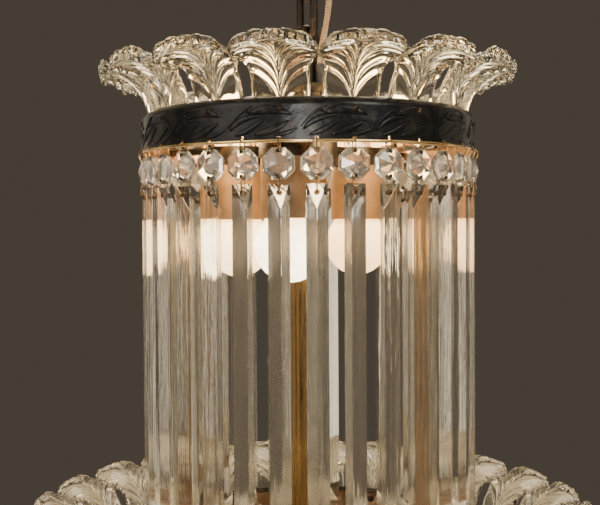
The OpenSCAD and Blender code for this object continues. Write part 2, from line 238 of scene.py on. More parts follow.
flex_finish, tree, surface = new_finish("flex")
place = place_of(tree)
strands = add(tree, "ShaderNodeTexWave", {
    "Vector": place, "Scale": 260.0, "Distortion": 1.5, "Detail": 2.0}, bands_direction="DIAGONAL")
haze = use_group(tree, patches, {"Vector": place, "Scale": 180.0, "Low": 0.35, "High": 0.7})
tree.links.new(shade_mix(tree, strands.outputs["Fac"], (0.16, 0.10, 0.055), (0.44, 0.32, 0.19)),
               surface.inputs["Base Color"])
tree.links.new(value_range(tree, haze.outputs[0], 0.18, 0.45), surface.inputs["Roughness"])
surface.inputs["Coat Weight"].default_value = 0.6
surface.inputs["Coat Roughness"].default_value = 0.12
relief = use_group(tree, uneven, {
    "Vector": place, "Fine Scale": 900.0, "Fine Depth": 0.15, "Broad Depth": 0.3})
bumped(tree, surface, relief.outputs[0], 0.4)


def flex_part(name, route, turn_from):
    """Part of the flex as a closed tube with two lobes, the line it follows and its turn at the end."""
    section_data = bpy.data.curves.new(name + "_section", "CURVE")
    section_data.dimensions = "2D"
    lobes = section_data.splines.new("POLY")
    outline = []
    for k in range(FLEX_SECTION):
        turn = 2 * math.pi * k / FLEX_SECTION
        reach = FLEX_WIDTH / 2 * (0.80 + 0.20 * abs(math.cos(turn)) ** 1.5)
        outline.append((reach * math.cos(turn), reach * math.sin(turn)))
    lobes.points.add(len(outline) - 1)
    for point, (x, y) in zip(lobes.points, outline):
        point.co = (x, y, 0, 1)
    lobes.use_cyclic_u = True
    section = bpy.data.objects.new(name + "_section", section_data)
    run_data = bpy.data.curves.new(name, "CURVE")
    run_data.dimensions = "3D"
    run_data.twist_mode = "Z_UP"
    run = run_data.splines.new("POLY")
    line = []
    for i in range(len(route) - 1):
        before = route[max(i - 1, 0)]
        after = route[min(i + 2, len(route) - 1)]
        a, b = route[i], route[i + 1]
        for k in range(FLEX_STEPS):
            t = k / FLEX_STEPS
            line.append(0.5 * (2 * a + (b - before) * t + (2 * before - 5 * a + 4 * b - after) * t * t
                               + (3 * a - before - 3 * b + after) * t ** 3))
    line.append(route[-1])
    run.points.add(len(line) - 1)
    for point, place in zip(run.points, line):
        point.co = (*place, 1)
        point.tilt = turn_from + (place.z - route[0].z) / HALF_TWIST * math.pi
    run_data.bevel_mode = "OBJECT"
    run_data.bevel_object = section
    run_data.use_fill_caps = True
    curve = bpy.data.objects.new(name + "_curve", run_data)
    bpy.context.scene.collection.objects.link(section)
    bpy.context.scene.collection.objects.link(curve)
    bpy.context.view_layer.update()
    mesh = bpy.data.meshes.new_from_object(curve.evaluated_get(bpy.context.evaluated_depsgraph_get()))
    bpy.data.objects.remove(curve)
    bpy.data.objects.remove(section)
    shape = bmesh.new()
    shape.from_mesh(mesh)
    bmesh.ops.remove_doubles(shape, verts=shape.verts, dist=0.01 * MM)
    bmesh.ops.recalc_face_normals(shape, faces=shape.faces)
    return shape, line, turn_from + (route[-1].z - route[0].z) / HALF_TWIST * math.pi


flex_points = [Vector(p) * MM for p in FLEX_ROUTE]

shape, upper_line, turn = flex_part("flex_above", flex_points[:FLEX_MEET + 1], 0.0)
flex_above = finished("flex_above", shape, flex_finish, body=None, replaces=["supply_cord"])
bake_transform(flex_above)

shape, lower_line, _ = flex_part("flex_below", flex_points[FLEX_MEET:], turn)
flex_below = finished("flex_below", shape, flex_finish, body=None, replaces=["supply_cord"])
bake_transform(flex_below)


# ---------------------------------------------------------------------------
# Ceiling fitting, chain and cap. Cast and spun bronze, dark with age and
# rubbed lighter where it is handled. The canopy hides a zinc-plated bar.
# ---------------------------------------------------------------------------
def paint(node, finish):
    """Gives a node of the frame its finish."""
    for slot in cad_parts[node].material_slots:
        slot.material = finish


bronze, tree, surface = new_finish("bronze")
place = place_of(tree)
rubbed = use_group(tree, patches, {"Vector": place, "Scale": 120.0, "Low": 0.52, "High": 0.74})
tree.links.new(shade_mix(tree, rubbed.outputs[0], (0.030, 0.024, 0.019), (0.20, 0.135, 0.070)),
               surface.inputs["Base Color"])
tree.links.new(value_range(tree, rubbed.outputs[0], 0.46, 0.27), surface.inputs["Roughness"])
surface.inputs["Metallic"].default_value = 0.85
relief = use_group(tree, uneven, {"Vector": place, "Fine Scale": 1400.0, "Fine Depth": 0.12,
                                  "Broad Scale": 220.0, "Broad Depth": 0.35})
bumped(tree, surface, relief.outputs[0], 0.25)

steel, tree, surface = new_finish("steel")
place = place_of(tree)
spangle = add(tree, "ShaderNodeTexVoronoi", {"Vector": place, "Scale": 260.0})
tree.links.new(shade_mix(tree, spangle.outputs["Distance"], (0.46, 0.46, 0.45), (0.66, 0.66, 0.64)),
               surface.inputs["Base Color"])
tree.links.new(value_range(tree, spangle.outputs["Distance"], 0.28, 0.5), surface.inputs["Roughness"])
surface.inputs["Metallic"].default_value = 1.0
relief = use_group(tree, uneven, {"Vector": place, "Fine Scale": 1100.0, "Fine Depth": 0.2})
bumped(tree, surface, relief.outputs[0], 0.12)

for node in ("ceiling_canopy", "canopy_loop", "chain_link_1", "chain_links", "top_loop", "pipe_cap",
             "upper_spider", "lower_spider"):
    paint(node, bronze)
for node in ("mounting_bar", "lamp_pipe"):
    paint(node, steel)

black_plastic, tree, surface = new_finish("black_plastic")
place = place_of(tree)
dull = use_group(tree, patches, {"Vector": place, "Scale": 300.0, "Low": 0.4, "High": 0.65})
tree.links.new(shade_mix(tree, dull.outputs[0], (0.012, 0.012, 0.012), (0.045, 0.042, 0.038)),
               surface.inputs["Base Color"])
tree.links.new(value_range(tree, dull.outputs[0], 0.35, 0.6), surface.inputs["Roughness"])
relief = use_group(tree, uneven, {"Vector": place, "Fine Scale": 1600.0, "Fine Depth": 0.3})
bumped(tree, surface, relief.outputs[0], 0.15)
paint("cord_bushing", black_plastic)


# ---------------------------------------------------------------------------
# Bands. Stamped bronze hoops with a rounded shoulder, blacked all over, each
# embossed with slanting leaf sprays and berries, one spray for every plume.
# ---------------------------------------------------------------------------
def band_finish(name, radius):
    """Blacked bronze outside the middle of the band's wall; inside it, a brassy colour that paints the lamps'
    warm light on the inner face.
    """
    material, tree, surface = new_finish(name)
    place = place_of(tree)
    apart = add(tree, "ShaderNodeSeparateXYZ", {"Vector": place})
    level = add(tree, "ShaderNodeCombineXYZ", {"X": apart.outputs["X"], "Y": apart.outputs["Y"]})
    reach = add(tree, "ShaderNodeVectorMath", {0: level.outputs[0]}, operation="LENGTH")
    outside = add(tree, "ShaderNodeMapRange", {
        "Value": reach.outputs["Value"], "From Min": radius - 0.9 * MM, "From Max": radius - 0.5 * MM})
    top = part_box(name)[1][2]
    shoulder = add(tree, "ShaderNodeMapRange", {
        "Value": apart.outputs["Z"], "From Min": top - 5.6 * MM, "From Max": top - 5.2 * MM})
    blacked = add(tree, "ShaderNodeMath", {
        0: outside.outputs[0], 1: shoulder.outputs[0]}, operation="MAXIMUM")
    worn = use_group(tree, patches, {"Vector": place, "Scale": 95.0, "Low": 0.50, "High": 0.74})
    # the inner face below the shoulder: an unevenly bright brassy colour, painted light from the lamps on it
    inner_glow_patches = use_group(tree, patches, {"Vector": place, "Scale": 40.0, "Low": 0.35, "High": 0.70})
    black = shade_mix(tree, worn.outputs[0], (0.010, 0.011, 0.013), (0.042, 0.036, 0.030))
    painted_inner_glow = shade_mix(tree, inner_glow_patches.outputs[0], (0.27, 0.15, 0.08), (0.17, 0.095, 0.05))
    both = add(tree, "ShaderNodeMix", data_type="RGBA")
    tree.links.new(blacked.outputs[0], both.inputs[0])
    tree.links.new(painted_inner_glow, both.inputs[6])
    tree.links.new(black, both.inputs[7])
    tree.links.new(both.outputs[2], surface.inputs["Base Color"])
    tree.links.new(value_range(tree, worn.outputs[0], 0.30, 0.42), surface.inputs["Roughness"])
    surface.inputs["Metallic"].default_value = 0.6
    surface.inputs["Specular IOR Level"].default_value = 0.6
    relief = use_group(tree, uneven, {"Vector": place, "Fine Scale": 1000.0, "Fine Depth": 0.10,
                                      "Broad Scale": 170.0, "Broad Depth": 0.7})
    bumped(tree, surface, relief.outputs[0], 0.45)
    return material


upper_band_bronze = band_finish("upper_band", upper_radius)
lower_band_bronze = band_finish("lower_band", lower_radius)
paint("upper_band", upper_band_bronze)
paint("lower_band", lower_band_bronze)

# each tier's plumes and strands: how many, and how far the first is turned from the front
UPPER_PLUMES, UPPER_TURN = 16, -8.4
LOWER_PLUMES, LOWER_TURN = 24, -4.3
UPPER_STRANDS, UPPER_STRAND_TURN = 32, 2.6
LOWER_STRANDS, LOWER_STRAND_TURN = 48, 1.5

# each leaf: start, bend and tip along the band and up it, then half width and height, in mm
SPRAY_LEAVES = [
    ((3.0, 8.5), (9.0, 17.0), (19.5, 22.0), 0.8, 1.0),
    ((17.5, 17.0), (31.0, 22.5), (44.5, 16.0), 3.0, 0.95),
    ((4.5, 7.0), (12.0, 16.0), (25.5, 15.5), 2.0, 0.95),
    ((8.0, 3.8), (18.0, 6.0), (27.5, 14.0), 1.8, 0.90),
    ((21.0, 4.2), (32.0, 5.5), (43.0, 12.5), 2.4, 0.90),
    ((33.0, 3.8), (40.0, 3.6), (48.5, 8.0), 1.4, 0.80),
]
SPRAY_PITCH = 47.1
SPRAY_BERRIES = [(16.0, 18.6, 1.25), (19.2, 17.4, 1.1), (16.6, 15.6, 1.0)]


def only_verts(things):
    """The corners among the results of a mesh operator."""
    return [thing for thing in things if isinstance(thing, bmesh.types.BMVert)]


def band_sprays(name, finish, radius, floor, count, turn):
    """The raised leaves and berries of one band."""
    shape = bmesh.new()
    pitch = 2 * math.pi * radius / MM / count
    squeeze = pitch / SPRAY_PITCH

    def on_band(along, up, out):
        """A point on the band, from how far along, up and out of it, in mm."""
        angle = along * MM / radius
        reach = radius + out * MM
        return Vector((reach * math.sin(angle), -reach * math.cos(angle), floor + up * MM))

    for i in range(count):
        begin = math.radians(turn) * radius / MM + (i + 0.22) * pitch
        for first, bend, tip, half, height in SPRAY_LEAVES:
            grid = bmesh.ops.create_grid(shape, x_segments=8, y_segments=4, size=1)["verts"]
            faces = list({face for vert in grid for face in vert.link_faces})
            top = {vert: (vert.co.x, vert.co.y) for vert in grid}
            sunk = bmesh.ops.extrude_face_region(shape, geom=faces)["geom"]
            base = {vert: (vert.co.x, vert.co.y) for vert in only_verts(sunk)}
            for level, verts in ((0, top), (1, base)):
                for vert, (a, b) in verts.items():
                    t = (a + 1) / 2
                    x = first[0] * (1 - t) ** 2 + 2 * bend[0] * t * (1 - t) + tip[0] * t * t
                    z = first[1] * (1 - t) ** 2 + 2 * bend[1] * t * (1 - t) + tip[1] * t * t
                    dx = (bend[0] - first[0]) * (1 - t) + (tip[0] - bend[0]) * t
                    dz = (bend[1] - first[1]) * (1 - t) + (tip[1] - bend[1]) * t
                    size = math.hypot(dx, dz)
                    wide = half * max(0.08, math.sin(math.pi * min(1, t * 0.94 + 0.05))) ** 0.7
                    x -= dz / size * b * wide
                    z += dx / size * b * wide
                    rise = height * (1 - 0.75 * b * b) * (0.55 + 0.45 * min(1, abs(b) * 2.2))
                    out = rise if level == 0 else -0.35
                    vert.co = on_band(begin + x * squeeze, z, out)
        for x, z, size in SPRAY_BERRIES:
            berry = bmesh.ops.create_icosphere(shape, subdivisions=2, radius=size * MM)["verts"]
            bmesh.ops.translate(shape, verts=berry, vec=on_band(begin + x * squeeze, z, 0.1))
    bmesh.ops.recalc_face_normals(shape, faces=shape.faces)
    return finished(name, shape, finish)


band_sprays("upper_band_sprays", upper_band_bronze, upper_radius, upper_floor,
            UPPER_PLUMES, UPPER_TURN)
band_sprays("lower_band_sprays", lower_band_bronze, lower_radius, lower_floor,
            LOWER_PLUMES, LOWER_TURN)


# ---------------------------------------------------------------------------
# Lips. A rolled brass wire along each band's lower edge, burnished bright and
# left unlacquered, so that it has gone warmer in places.
# ---------------------------------------------------------------------------
polished_gold, tree, surface = new_finish("polished_gold")
place = place_of(tree)
warm = use_group(tree, patches, {"Vector": place, "Scale": 60.0, "Low": 0.4, "High": 0.7})
tree.links.new(shade_mix(tree, warm.outputs[0], (1.0, 0.80, 0.43), (0.78, 0.50, 0.20)),
               surface.inputs["Base Color"])
tree.links.new(value_range(tree, warm.outputs[0], 0.16, 0.28), surface.inputs["Roughness"])
surface.inputs["Metallic"].default_value = 1.0
relief = use_group(tree, uneven, {
    "Vector": place, "Fine Scale": 700.0, "Fine Depth": 0.1, "Broad Scale": 120.0})
bumped(tree, surface, relief.outputs[0], 0.3)


def rolled_ring(shape, radius, height, thickness, around=12, steps=180):
    """A ring of round section about the chain's line."""
    section = bmesh.ops.create_circle(shape, segments=around, radius=thickness)["verts"]
    bmesh.ops.rotate(shape, verts=section, cent=(0, 0, 0), matrix=Matrix.Rotation(math.pi / 2, 3, "X"))
    bmesh.ops.translate(shape, verts=section, vec=(radius, 0, height))
    edges = list({edge for vert in section for edge in vert.link_edges})
    bmesh.ops.spin(shape, geom=section + edges, cent=(0, 0, 0), axis=(0, 0, 1), dvec=(0, 0, 0),
                   angle=2 * math.pi, steps=steps, use_merge=True)


LIP_THICK = 1.1 * MM
for name, radius, floor, node in (("upper_rolled_lip", upper_radius, upper_floor, "upper_lip"),
                                  ("lower_rolled_lip", lower_radius, lower_floor, "lower_lip")):
    shape = bmesh.new()
    rolled_ring(shape, radius + 0.1 * MM, floor + 0.2 * MM, LIP_THICK)
    bmesh.ops.recalc_face_normals(shape, faces=shape.faces)
    finished(name, shape, polished_gold, replaces=[node])


# ---------------------------------------------------------------------------
# Plumes. Clear pressed glass. A plain tab stands inside the band, and above it
# a fan of ribs curls outwards and ends in a thick lip pressed into lumps.
# ---------------------------------------------------------------------------
def glass_finish(name, clean, dusty, clear, wave, drawn=1.0):
    """Clear glass with a thin, uneven coat of dust.

    clear is the share of light that goes through, wave the depth of its unevenness in mm, and
    drawn squeezes the pattern along the chain's line, for glass drawn into bars.
    """
    material, tree, surface = new_finish(name)
    place = add(tree, "ShaderNodeMapping", {"Vector": place_of(tree), "Scale": (1.0, 1.0, drawn)}).outputs[0]
    dust = use_group(tree, patches, {"Vector": place, "Scale": 220.0, "Low": 0.45, "High": 0.80})
    tree.links.new(shade_mix(tree, dust.outputs[0], clean, dusty), surface.inputs["Base Color"])
    tree.links.new(value_range(tree, dust.outputs[0], 0.015, 0.16), surface.inputs["Roughness"])
    surface.inputs["IOR"].default_value = 1.55
    surface.inputs["Metallic"].default_value = 0.0
    surface.inputs["Transmission Weight"].default_value = clear
    relief = use_group(tree, uneven, {
        "Vector": place, "Fine Scale": 500.0, "Fine Depth": 0.05 / drawn ** 0.5,
        "Broad Scale": 70.0 / drawn ** 0.3, "Broad Depth": 0.5})
    bumped(tree, surface, relief.outputs[0], wave)
    return material


pressed_crystal = glass_finish("pressed_crystal", (1.0, 0.95, 0.79), (0.97, 0.88, 0.66), 0.985, 0.30)

# in mm: the curl's radius, how far up it a radian goes, the glass, the curl's foot over the
# band's, and half the tab's width
CURL = 34.0
CURL_REACH = 36.0
GLASS = 4.5
CURL_FOOT = 24.0
TAB_HALF = 18.5
# how far up the curl each rib crosses the middle, and the rises and falls over one rib
RIBS = [-7.0, 2.0, 11.0, 20.0, 29.0]
RIB_STEPS = [(-1.3, 0.1), (-0.6, 1.25), (0.0, 1.7), (0.6, 1.25), (1.3, 0.1), (2.9, -0.75), (4.5, -1.05),
             (6.1, -0.75)]


def smooth_step(low, high, value):
    """Eases from 0 at low to 1 at high."""
    t = min(1, max(0, (value - low) / (high - low)))
    return t * t * (3 - 2 * t)


def fan_rise(across):
    """How far a rib has climbed when it is this far from the middle, in mm."""
    return 31 * math.sqrt(max(0, 1 - (1 - min(27, abs(across)) / 27) ** 2))


# the rows of a plume's surface from the tab up: zone, place in it, and how far it stands out in mm
PLUME_ROWS = [("tab", t, 0.0) for t in (0, 0.2, 0.4, 0.6, 0.8)]
PLUME_ROWS += [("fan", rib + step, high) for rib in RIBS[:4] for step, high in RIB_STEPS]
PLUME_ROWS += [("fan", RIBS[4] + step, high * 0.8) for step, high in RIB_STEPS[:5]]
PLUME_ROWS += [("rim", t, high) for t, high in (
    (0.14, -0.3), (0.3, -0.5), (0.44, -0.3), (0.56, 0.6), (0.68, 1.9), (0.8, 2.9), (0.9, 3.2),
    (0.96, 2.7), (1.0, 1.4))]


def plume_point(c, row, back, tab_radius, width):
    """A point of a plume, from its place across it and its row, in mm from the band's foot."""
    zone, value, high = PLUME_ROWS[row]
    lump = abs(math.cos(2.5 * math.pi * c)) ** 0.7
    if zone == "tab":
        across = TAB_HALF * c
        climb = -15.5 + (-8.3 + fan_rise(across) + 15.5) * value
    else:
        foot = min(value, 29.0) if zone == "fan" else 30.3
        half = TAB_HALF + smooth_step(-8.5, 8.0, foot) * 6.4 + smooth_step(6, 22, foot) * 1.4
        half = (half + 1.3 * abs(math.sin(math.pi * (foot + 7) / 9)) * smooth_step(-7, -3, foot)) * width
        half = max(half, TAB_HALF)
        across = half * c
        climb = foot + fan_rise(across) * (1 - 0.0128 * max(0, foot - 11))
        if zone == "rim":
            across *= 1 - 0.05 * value
            rim = 56.5 - 2.6 * abs(c) ** 2 + 2.2 * lump
            climb += (rim - climb) * value
    edge = smooth_step(0.86, 1.0, abs(c))
    stem = math.exp(-((across / 1.3) ** 2))
    high = high + (1.6 - high) * stem * (0 if zone == "rim" and value > 0.4 else 1)
    if zone == "rim" and value > 0.55:
        high *= 0.42 + 0.58 * lump
    front = (high - 1.2 * edge) * smooth_step(1.0, 7.0, climb)
    thick = GLASS - 1.0 * edge
    if zone == "rim":
        swell = 1.7 * smooth_step(0.5, 0.85, value) - 4.2 * smooth_step(0.85, 1.0, value)
        thick += swell * (0.6 + 0.4 * lump)
    out = -thick + 0.6 * edge if back else front
    if climb <= 0:
        reach, up = tab_radius + out, CURL_FOOT + climb
    else:
        turn = climb / CURL_REACH
        reach = tab_radius + CURL - (CURL - out) * math.cos(turn)
        up = CURL_FOOT + (CURL - out) * math.sin(turn)
    side = min(1.1, abs(across) / 26)
    up -= 6.0 * side ** 2.2 * smooth_step(20, 48, climb)
    reach += 1.2 * side ** 2 * smooth_step(20, 48, climb)
    angle = across / reach
    return Vector((reach * math.sin(angle), -reach * math.cos(angle), up)) * MM


PLUME_COLUMNS = 28
CROWD_OUTWARDS = 1.25


def plume_glass(tab_radius, width):
    """One plume, facing the front over a band at height 0."""
    shape = bmesh.new()
    columns, rows = PLUME_COLUMNS, len(PLUME_ROWS) - 1
    grid = bmesh.ops.create_grid(shape, x_segments=columns, y_segments=rows, size=1)["verts"]
    front = {vert: (vert.co.x, round((vert.co.y + 1) / 2 * rows)) for vert in grid}
    grown = only_verts(bmesh.ops.extrude_face_region(shape, geom=shape.faces[:])["geom"])
    back = {vert: (vert.co.x, round((vert.co.y + 1) / 2 * rows)) for vert in grown}
    for is_back, verts in ((False, front), (True, back)):
        for vert, (c, row) in verts.items():
            across = math.copysign(abs(c) ** CROWD_OUTWARDS, c)
            vert.co = plume_point(across, row, is_back, tab_radius, width)
    bmesh.ops.recalc_face_normals(shape, faces=shape.faces)
    mesh = bpy.data.meshes.new("plume_glass")
    shape.to_mesh(mesh)
    shape.free()
    return mesh


def set_round(single, places):
    """Copies of one piece, each put at its own place."""
    shape = bmesh.new()
    for place in places:
        begin = len(shape.verts)
        shape.from_mesh(single)
        shape.verts.ensure_lookup_table()
        bmesh.ops.transform(shape, matrix=place, verts=shape.verts[begin:])
    return shape


def around(count, turn, radius, height, wobble=0.0, seed=0):
    """Places round the chain's line, counted from the front."""
    luck = random.Random(seed)
    return [
        Matrix.Translation((0, 0, height))
        @ Matrix.Rotation(math.radians(turn + 360 * i / count + luck.uniform(-wobble, wobble)), 4, "Z")
        @ Matrix.Translation((0, -radius, 0))
        for i in range(count)
    ]


TAB_IN = 5.8 * MM
PLUME_WOBBLE = 0.25
for name, radius, floor, count, turn, width in (
        ("upper_plumes", upper_radius, upper_floor, UPPER_PLUMES, UPPER_TURN, 1.0),
        ("lower_plumes", lower_radius, lower_floor, LOWER_PLUMES, LOWER_TURN, 0.95)):
    glass = plume_glass((radius - TAB_IN) / MM, width)
    shape = set_round(glass, around(count, turn, 0, floor, PLUME_WOBBLE, count))
    finished(name, shape, pressed_crystal, replaces=["plumes"])


# ---------------------------------------------------------------------------
# Plume screws. Small domed brass screws, blacked like the band. One goes through
# the band and each plume's tab, with a hexagon nut on the inside.
# ---------------------------------------------------------------------------
SCREW_UP = 19.9 * MM
side_on = Matrix.Rotation(math.pi / 2, 4, "X")
screw = bmesh.new()
bmesh.ops.create_uvsphere(screw, u_segments=12, v_segments=8, radius=2.5 * MM)
bmesh.ops.bisect_plane(screw, geom=screw.verts[:] + screw.edges[:] + screw.faces[:], plane_co=(0, 0, 0),
                       plane_no=(0, 1, 0), clear_outer=True)
bmesh.ops.edgeloop_fill(screw, edges=[e for e in screw.edges if e.is_boundary])
bmesh.ops.scale(screw, vec=(1, 0.55, 1), verts=screw.verts)
bmesh.ops.create_cone(screw, cap_ends=True, segments=10, radius1=1.3 * MM, radius2=1.3 * MM, depth=12.2 * MM,
                      matrix=Matrix.Translation((0, 6.2 * MM, 0)) @ side_on)
bmesh.ops.create_cone(screw, cap_ends=True, segments=6, radius1=3 * MM, radius2=3 * MM, depth=1.8 * MM,
                      matrix=Matrix.Translation((0, 11.4 * MM, 0)) @ side_on)
bmesh.ops.recalc_face_normals(screw, faces=screw.faces)
screw_mesh = bpy.data.meshes.new("screw")
screw.to_mesh(screw_mesh)
screw.free()
shape = set_round(screw_mesh, around(UPPER_PLUMES, UPPER_TURN, upper_radius, upper_floor + SCREW_UP)
                  + around(LOWER_PLUMES, LOWER_TURN, lower_radius, lower_floor + SCREW_UP))
finished("plume_screw_set", shape, bronze, replaces=["plume_screws"])


# ---------------------------------------------------------------------------
# Hooks and clips. Rings of fine brass wire. The hooks pass through the band's
# holes and the beads, the clips join each bead to its prism.
# ---------------------------------------------------------------------------
wire_brass, tree, surface = new_finish("wire_brass")
place = place_of(tree)
tarnish = use_group(tree, patches, {"Vector": place, "Scale": 400.0, "Low": 0.38, "High": 0.64})
tree.links.new(shade_mix(tree, tarnish.outputs[0], (0.42, 0.29, 0.12), (0.10, 0.065, 0.032)),
               surface.inputs["Base Color"])
tree.links.new(value_range(tree, tarnish.outputs[0], 0.25, 0.5), surface.inputs["Roughness"])
surface.inputs["Metallic"].default_value = 0.95
relief = use_group(tree, uneven, {"Vector": place, "Fine Scale": 1800.0, "Fine Depth": 0.2})
bumped(tree, surface, relief.outputs[0], 0.1)

WIRE_THICK = 0.42 * MM


def wire_loop(name, half_height, half_width):
    """An oval of fine wire in the plane through the chain's line."""
    shape = bmesh.new()
    rolled_ring(shape, half_height, 0, WIRE_THICK, around=5, steps=18)
    bmesh.ops.rotate(shape, verts=shape.verts, cent=(0, 0, 0), matrix=Matrix.Rotation(math.pi / 2, 3, "Y"))
    bmesh.ops.scale(shape, vec=(1, half_width / half_height, 1), verts=shape.verts)
    bmesh.ops.recalc_face_normals(shape, faces=shape.faces)
    mesh = bpy.data.meshes.new(name)
    shape.to_mesh(mesh)
    shape.free()
    return mesh


def on_strands(drop, inset):
    """Places on every strand of both bands, this far under its band's foot and inside its face."""
    return (around(UPPER_STRANDS, UPPER_STRAND_TURN, upper_radius - inset * MM, upper_floor - drop * MM)
            + around(LOWER_STRANDS, LOWER_STRAND_TURN, lower_radius - inset * MM, lower_floor - drop * MM))


shape = set_round(wire_loop("hook", 4.2 * MM, 3.7 * MM), on_strands(1.7, 0.8))
finished("bead_hook_set", shape, wire_brass, replaces=["bead_hooks"])
shape = set_round(wire_loop("clip", 4.95 * MM, 3.1 * MM), on_strands(26.7, 1.2))
finished("prism_clip_set", shape, wire_brass, replaces=["prism_clips"])


# ---------------------------------------------------------------------------
# Octagon beads. Clear cut glass, eight-sided. Long facets meet round a small
# table in front, a wider table closes the back, and each end is drilled.
# ---------------------------------------------------------------------------
# each ring of corners: reach in mm, distance in front of the bead's middle, turn in degrees
BEAD_RINGS = [(10.8, -1.1, 0.0), (10.8, 1.1, 0.0), (5.6, -4.1, 22.5), (9.1, 2.1, 0.0), (1.1, 4.2, 0.0)]
bead = bmesh.new()
for reach, out, turn in BEAD_RINGS:
    bmesh.ops.create_circle(
        bead, segments=8, radius=reach * MM,
        matrix=Matrix.Translation((0, -out * MM, 0)) @ side_on
        @ Matrix.Rotation(math.radians(22.5 + turn), 4, "Z"))
hull = bmesh.ops.convex_hull(bead, input=bead.verts)
spare = set(only_verts(hull["geom_interior"] + hull["geom_unused"]))
bmesh.ops.delete(bead, geom=list(spare), context="VERTS")
bmesh.ops.dissolve_limit(bead, angle_limit=math.radians(0.5), verts=bead.verts, edges=bead.edges)
bmesh.ops.recalc_face_normals(bead, faces=bead.faces)

cut_crystal = glass_finish("cut_crystal", (1.0, 0.975, 0.91), (0.97, 0.92, 0.82), 0.90, 0.06)

# the walls of the drilled holes, coloured an uneven dark brown
drilled_glass, tree, surface = new_finish("drilled_glass")
place = place_of(tree)
hole_tone = use_group(tree, patches, {"Vector": place, "Scale": 600.0, "Low": 0.35, "High": 0.65})
tree.links.new(shade_mix(tree, hole_tone.outputs[0], (0.10, 0.062, 0.030), (0.030, 0.020, 0.012)),
               surface.inputs["Base Color"])
tree.links.new(value_range(tree, hole_tone.outputs[0], 0.5, 0.75), surface.inputs["Roughness"])
relief = use_group(tree, uneven, {"Vector": place, "Fine Scale": 2500.0, "Fine Depth": 0.5})
bumped(tree, surface, relief.outputs[0], 0.1)


def drilled(shape, name, holes):
    """The mesh of a shape with holes through it along Y, drilled from both faces and narrow at the waist.

    Each hole is x, z and radius, in mm.
    """
    mesh = bpy.data.meshes.new(name)
    shape.to_mesh(mesh)
    shape.free()
    body = bpy.data.objects.new(name, mesh)
    drill = bmesh.new()
    for x, z, radius in holes:
        wide = radius * 1.6 * MM
        bmesh.ops.create_cone(drill, cap_ends=True, segments=12, radius1=wide, radius2=wide,
                              depth=12 * MM, matrix=Matrix.Translation((x * MM, 0, z * MM)) @ side_on)
        walls = [e for e in drill.edges if e.calc_length() > 11 * MM]
        waist = only_verts(bmesh.ops.subdivide_edges(drill, edges=walls, cuts=1)["geom_inner"])
        bmesh.ops.scale(drill, vec=(0.4, 1, 0.4), verts=waist,
                        space=Matrix.Translation((-x * MM, 0, -z * MM)))
    drill_mesh = bpy.data.meshes.new(name + "_drill")
    drill.to_mesh(drill_mesh)
    drill.free()
    tool = bpy.data.objects.new(name + "_drill", drill_mesh)
    for thing in (body, tool):
        bpy.context.scene.collection.objects.link(thing)
    cut = body.modifiers.new("holes", "BOOLEAN")
    cut.operation = "DIFFERENCE"
    cut.solver = "EXACT"
    cut.object = tool
    bpy.context.view_layer.update()
    made = bpy.data.meshes.new_from_object(body.evaluated_get(bpy.context.evaluated_depsgraph_get()))
    bpy.data.objects.remove(body)
    bpy.data.objects.remove(tool)
    return made


def darken_holes(piece, holes):
    """Puts the dark brown finish on the walls of a piece's holes: each hole is its middle and radius."""
    piece.data.materials.append(drilled_glass)
    for face in piece.data.polygons:
        for middle, radius in holes:
            apart = face.center - middle
            level = Vector((middle.x, middle.y, 0)).normalized()
            if (apart - level * apart.dot(level)).length < radius * 1.02 and abs(face.normal.dot(level)) < 0.5:
                face.material_index = 1


BEAD_DROP = 13.8
BEAD_HOLES = (-7.9, 7.9)
bead_mesh = drilled(bead, "bead", [(0, up, 1.5) for up in reversed(BEAD_HOLES)])
places = on_strands(BEAD_DROP, 1.0)
beads = finished("octagon_bead_set", set_round(bead_mesh, places), cut_crystal, smooth=False,
                 replaces=["octagon_beads"])
darken_holes(beads, [(place @ Vector((0, 0, up * MM)), 1.7 * MM)
                     for place in places for up in BEAD_HOLES])


# ---------------------------------------------------------------------------
# Prisms. Long three-sided bars of clear glass with their flat face outwards,
# both ends cut on a slant and the long edges just broken. Each hangs free.
# ---------------------------------------------------------------------------
bar_crystal = glass_finish("bar_crystal", (1.0, 0.975, 0.90), (0.97, 0.91, 0.78), 0.98, 0.40, 0.03)


def glass_bar(node):
    """A node's shape with its long edges broken."""
    shape = bmesh.new()
    shape.from_mesh(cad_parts[node].data)
    bmesh.ops.remove_doubles(shape, verts=shape.verts, dist=0.002 * MM)
    bmesh.ops.dissolve_limit(shape, angle_limit=math.radians(1.0), verts=shape.verts, edges=shape.edges)
    long_edges = [e for e in shape.edges if e.calc_length() > 8 * MM]
    bmesh.ops.bevel(shape, geom=long_edges, offset=0.3 * MM, offset_type="OFFSET", segments=2, profile=0.5,
                    affect="EDGES", clamp_overlap=True, material=-1)
    lowest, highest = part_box(node)[0][2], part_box(node)[1][2]
    for vert in shape.verts:
        vert.co.z = min(highest, max(lowest, vert.co.z))
    return shape


def pin_places(count, turn, radius, floor):
    """The middle of each prism's hole."""
    return [place.translation for place in around(count, turn, radius - 4 * MM, floor - 31.5 * MM)]


PIN_RADIUS = 1.7 * MM
upper_pins = pin_places(UPPER_STRANDS, UPPER_STRAND_TURN, upper_radius, upper_floor)
lower_pins = pin_places(LOWER_STRANDS, LOWER_STRAND_TURN, lower_radius, lower_floor)
for i, middle in enumerate(upper_pins, start=1):
    node = f"prism_{i:02d}"
    bar = finished(node + "_glass", glass_bar(node), bar_crystal, body=node + "_body",
                   smooth=False, replaces=[node])
    darken_holes(bar, [(middle, PIN_RADIUS)])
bars = finished("lower_prism_set", glass_bar("lower_prisms"), bar_crystal, smooth=False,
                replaces=["lower_prisms"])
darken_holes(bars, [(middle, PIN_RADIUS) for middle in lower_pins])


